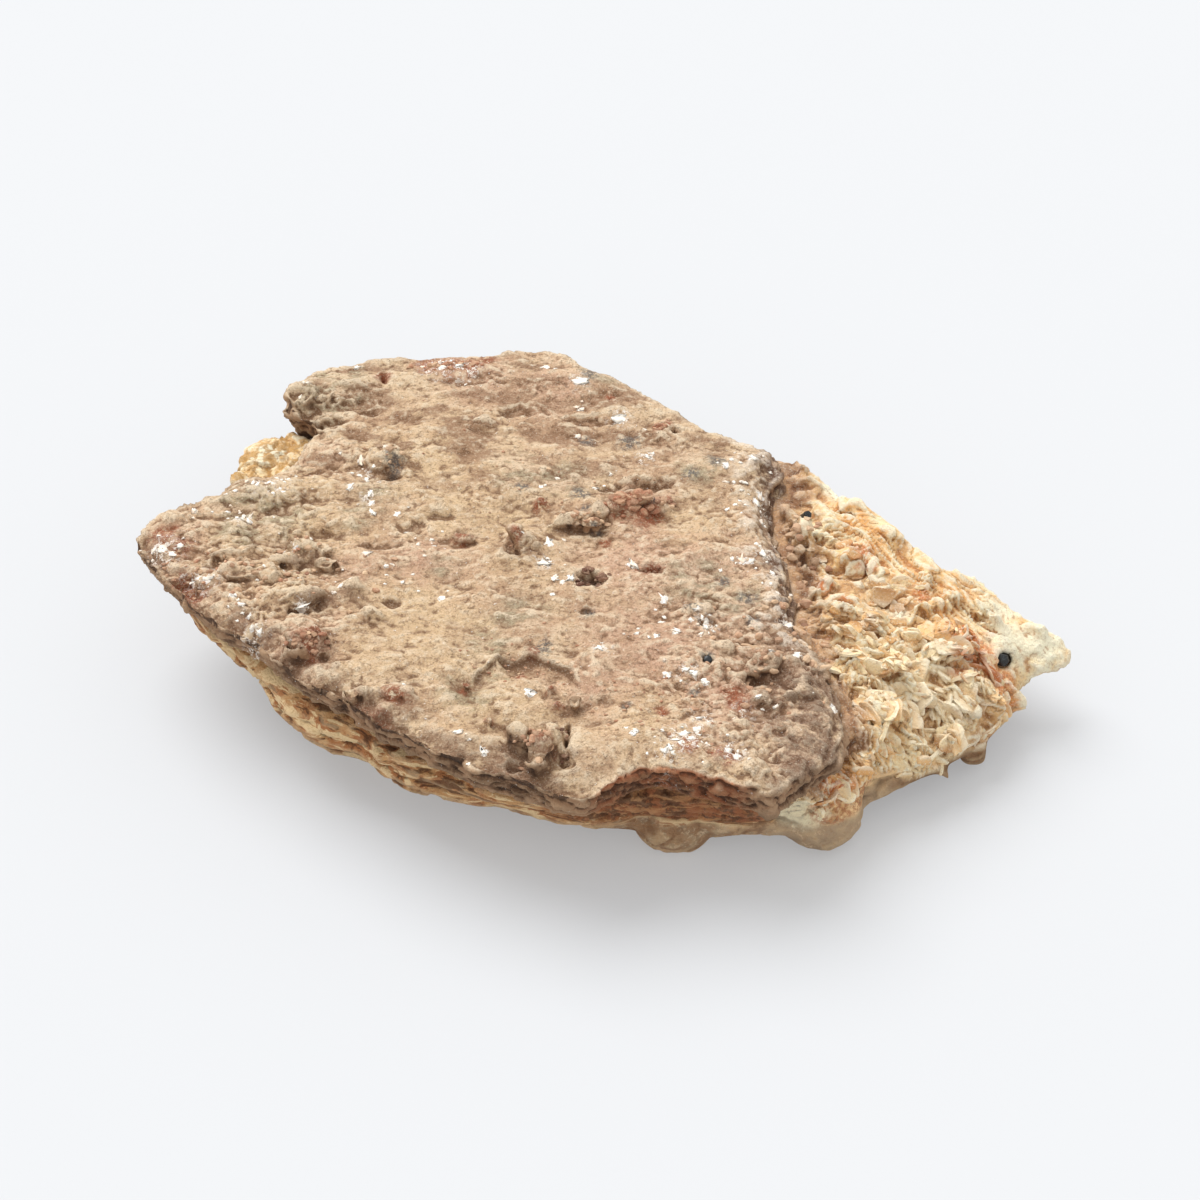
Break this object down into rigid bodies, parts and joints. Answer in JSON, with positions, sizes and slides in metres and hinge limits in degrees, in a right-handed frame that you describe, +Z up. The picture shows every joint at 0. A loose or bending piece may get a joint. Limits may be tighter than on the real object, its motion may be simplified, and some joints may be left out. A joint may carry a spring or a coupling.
{
  "type": "vanadinite specimen",
  "caption": "Broken slab of rock with a brown sandy crust over pale bladed rock, and small near-black prisms, lying on its uneven underside.",
  "frame": {"origin": "middle of the bounding box, on the surface that the specimen lies on", "axes": "+Z up, +X along the slab towards its pale tip, -Y towards its long front edge"},
  "size_m": [0.1538, 0.1086, 0.0281],
  "materials": {
    "brown_crust": "matte",
    "pale_matrix": "matte",
    "black_crystal": "gloss"
  },
  "bodies": {
    "root": {"brown_crust": "brown_crust", "pale_matrix": "pale_matrix", "black_crystal_tip": "black_crystal", "black_crystal_crust": "black_crystal", "black_crystal_ledge": "black_crystal"}
  },
  "joints": []
}
